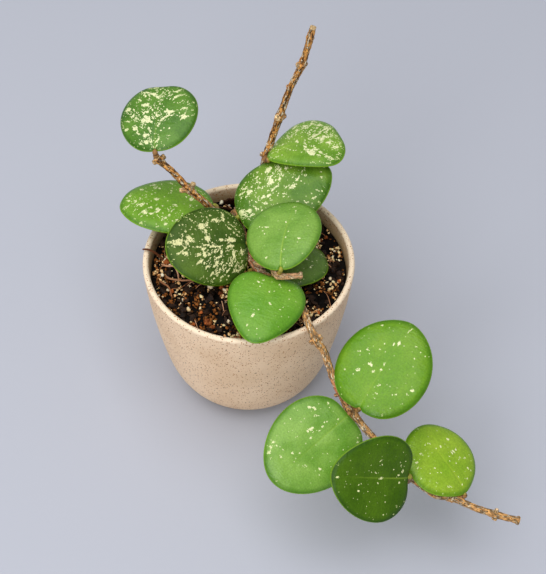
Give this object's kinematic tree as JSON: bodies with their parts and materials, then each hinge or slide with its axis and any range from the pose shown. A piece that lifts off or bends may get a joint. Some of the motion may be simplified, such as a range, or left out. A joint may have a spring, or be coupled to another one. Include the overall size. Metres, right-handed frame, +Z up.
{
  "type": "potted hoya plant",
  "caption": "Small potted hoya: round thick splashed leaves on bare woody stems, the longest trailing over the rim of a tapering speckled stoneware pot.",
  "frame": {"origin": "centre of the pot's flat foot, on the surface that the pot stands on", "axes": "+Z up, +X to the right and -Y to the front, where the long stem trails over the rim"},
  "size_m": [0.1477, 0.1567, 0.139],
  "materials": {
    "stoneware": "matte",
    "potting_mix": "matte",
    "bark": "matte",
    "leaf": "satin"
  },
  "bodies": {
    "root": {"pot": "stoneware", "soil": "potting_mix", "left_stem": "bark", "back_stem": "bark", "trailing_stem": "bark", "leaf_left_high": "leaf", "leaf_left_low": "leaf", "leaf_left_front": "leaf", "leaf_back_broad": "leaf", "leaf_back_high": "leaf", "leaf_centre": "leaf", "leaf_front": "leaf", "leaf_low_right": "leaf", "leaf_trail_upper": "leaf", "leaf_trail_lower": "leaf", "leaf_trail_folded": "leaf", "leaf_trail_end": "leaf"}
  },
  "joints": []
}
